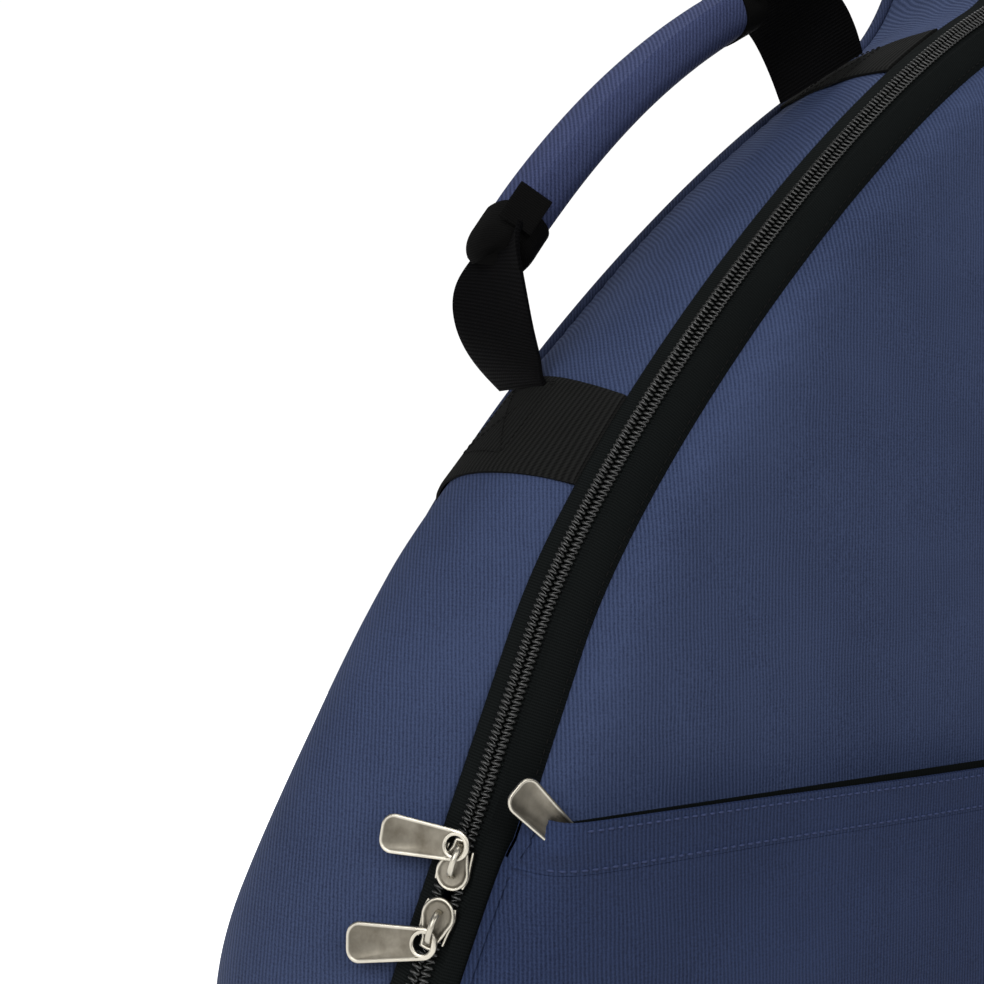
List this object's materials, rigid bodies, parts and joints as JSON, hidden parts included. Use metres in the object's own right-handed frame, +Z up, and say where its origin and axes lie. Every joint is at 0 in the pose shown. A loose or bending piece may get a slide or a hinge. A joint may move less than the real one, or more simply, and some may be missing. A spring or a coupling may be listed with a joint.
{
  "type": "padded instrument gig bag",
  "caption": "Padded soft bag with a curved body and narrow neck, a zipped front lid, a slanted front pocket, a side grip and back straps.",
  "frame": {"origin": "middle of the underside of the base bumper, on the ground", "axes": "+Z up along the bag towards its head end, -Y the front with the zipped lid, +X to the right seen from the front"},
  "size_m": [0.5467, 0.2032, 1.1253],
  "materials": {
    "shell_cloth": "navy woven polyester, matt with a slight sheen",
    "grip_cloth": "navy ribbed cloth, matt",
    "webbing": "black ribbed webbing, matt",
    "binding": "black binding tape, matt",
    "piping": "dark blue-grey cord edging",
    "zip_tape": "black woven tape",
    "zip_coil": "black nylon coil, satin",
    "nickel": "aged nickel, satin",
    "foam": "closed-cell foam, matt",
    "lining_cloth": "dark grey lining cloth, matt",
    "rubber": "moulded black rubber, matt",
    "buckle_plastic": "black acetal, satin"
  },
  "bodies": {
    "bag": {"back_panel_cover": "shell_cloth", "back_panel_foam": "foam", "back_panel_lining": "lining_cloth", "back_piping": "piping", "gusset_bottom_cover": "shell_cloth", "gusset_bottom_foam": "foam", "gusset_left_cover": "shell_cloth", "gusset_left_foam": "foam", "gusset_right_cover": "shell_cloth", "gusset_right_foam": "foam", "gusset_head_cover": "shell_cloth", "gusset_head_foam": "foam", "gusset_lining": "lining_cloth", "zip_tape_outer": "zip_tape", "zip_coil_outer": "zip_coil", "lid_hinge_cloth": "webbing", "side_band_lower": "webbing", "side_band_upper": "webbing", "handle_anchor_lower": "webbing", "handle_anchor_upper": "webbing", "base_bumper": "rubber", "hang_loop": "webbing", "neck_pillow": "lining_cloth", "neck_strap": "webbing", "strap_patch": "webbing", "shoulder_pad_left": "shell_cloth", "ladder_lock_left": "buckle_plastic", "strap_webbing_left": "webbing", "strap_anchor_left": "webbing", "shoulder_pad_right": "shell_cloth", "ladder_lock_right": "buckle_plastic", "strap_webbing_right": "webbing", "strap_anchor_right": "webbing"},
    "lid": {"front_panel_cover": "shell_cloth", "front_panel_foam": "foam", "front_panel_lining": "lining_cloth", "zip_tape_inner": "zip_tape", "zip_coil_inner": "zip_coil", "pocket_panel": "shell_cloth", "pocket_hem": "shell_cloth", "pocket_wall": "shell_cloth", "pocket_zip_tape": "zip_tape", "pocket_zip_coil": "zip_coil"},
    "slider_upper": {"slider_upper_body": "nickel", "slider_upper_bail": "nickel"},
    "slider_lower": {"slider_lower_body": "nickel", "slider_lower_bail": "nickel"},
    "tab_upper": {"pull_tab_upper": "nickel"},
    "tab_lower": {"pull_tab_lower": "nickel"},
    "pocket_slider": {"pocket_slider": "nickel"},
    "pocket_tab": {"pocket_pull_tab": "nickel"},
    "handle": {"handle_strap_lower": "webbing", "handle_strap_upper": "webbing", "handle_grip_cover": "grip_cloth", "handle_end_lower": "binding", "handle_end_upper": "binding"}
  },
  "joints": [
    {"name": "lid_hinge", "type": "hinge", "parent": "bag", "child": "lid", "pos_m": [0.2255, -0.0685, 0.225], "axis": [0, 0, 1], "range_deg": [0, 110], "deforming": ["lid_hinge_cloth"]},
    {"name": "slider_upper_slide", "type": "slide", "parent": "lid", "child": "slider_upper", "axis": [0, 0, 1], "range_m": [0, 0.08]},
    {"name": "slider_lower_slide", "type": "slide", "parent": "lid", "child": "slider_lower", "axis": [0, 0, 1], "range_m": [-0.02, 0]},
    {"name": "tab_upper_swivel", "type": "hinge", "parent": "slider_upper", "child": "tab_upper", "pos_m": [-0.22398, -0.07248, 0.2123], "axis": [-0.7071, -0.7071, 0], "range_deg": [-95, 27]},
    {"name": "tab_lower_swivel", "type": "hinge", "parent": "slider_lower", "child": "tab_lower", "pos_m": [-0.22398, -0.07248, 0.1747], "axis": [-0.7071, -0.7071, 0], "range_deg": [-60, 68]},
    {"name": "pocket_slider_slide", "type": "slide", "parent": "lid", "child": "pocket_slider", "axis": [0.9439, 0, 0.3304], "range_m": [0, 0.35]},
    {"name": "pocket_tab_swivel", "type": "hinge", "parent": "pocket_slider", "child": "pocket_tab", "pos_m": [-0.194, -0.0987, 0.2276], "axis": [-0.1466, -0.9866, 0.0709], "range_deg": [-20, 20]},
    {"name": "handle_swing", "type": "hinge", "parent": "bag", "child": "handle", "pos_m": [-0.182, -0.005, 0.521], "axis": [0.4157, 0, 0.9095], "range_deg": [-25, 25]}
  ]
}
